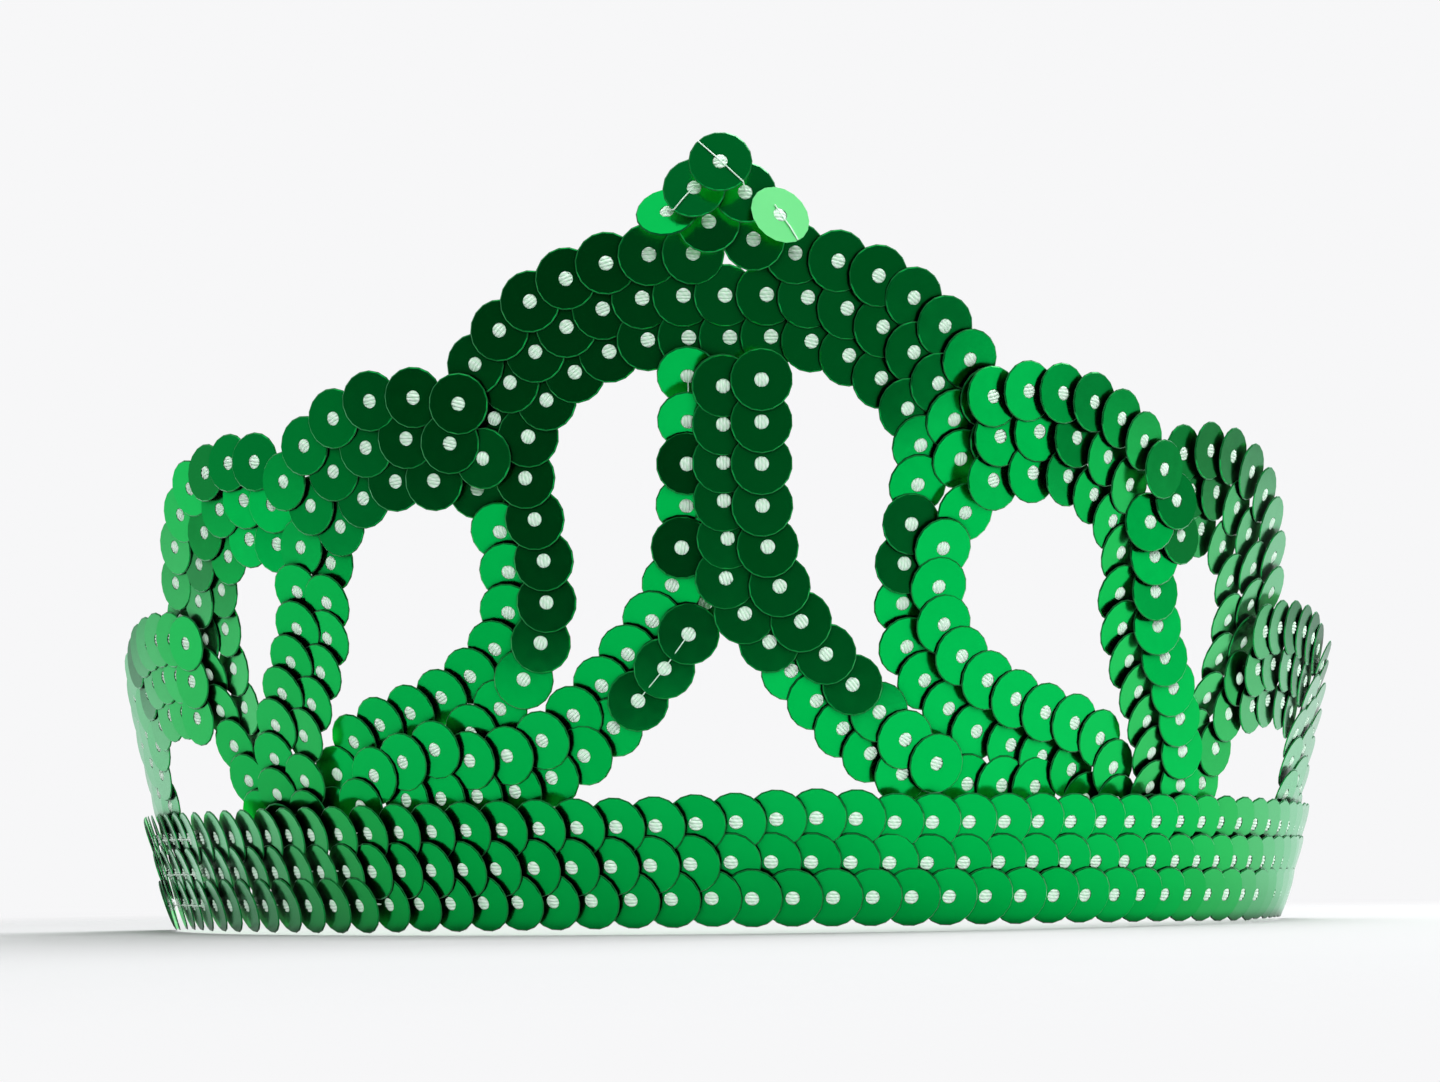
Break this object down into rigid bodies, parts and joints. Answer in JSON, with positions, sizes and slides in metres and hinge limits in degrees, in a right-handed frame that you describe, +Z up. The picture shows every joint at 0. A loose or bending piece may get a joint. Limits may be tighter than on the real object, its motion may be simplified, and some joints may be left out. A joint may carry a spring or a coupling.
{
  "type": "mini tiara",
  "caption": "Small half-round tiara of stitched green sequin trim, with a flared openwork wall of looped arches rising to a centre peak over a flat base band.",
  "frame": {"origin": "on the surface that the tiara stands on, halfway across its width and halfway between its peak and the back ends of its base band", "axes": "+X to the right as seen from the front, +Y towards the open back, +Z up"},
  "size_m": [0.1358, 0.0817, 0.0742],
  "materials": {
    "sequin_trim": "overlapping flat plastic sequins with a glossy green film, paler where they turn edge-on",
    "thread": "thin pale green sewing thread"
  },
  "bodies": {
    "root": {"base_band": "sequin_trim", "main_arch": "sequin_trim", "centre_strip_left": "sequin_trim", "centre_strip_right": "sequin_trim", "side_arch_left": "sequin_trim", "side_arch_right": "sequin_trim", "small_arch_left": "sequin_trim", "small_arch_right": "sequin_trim", "end_arch_left": "sequin_trim", "end_arch_right": "sequin_trim", "peak_sequins": "sequin_trim"}
  },
  "joints": []
}
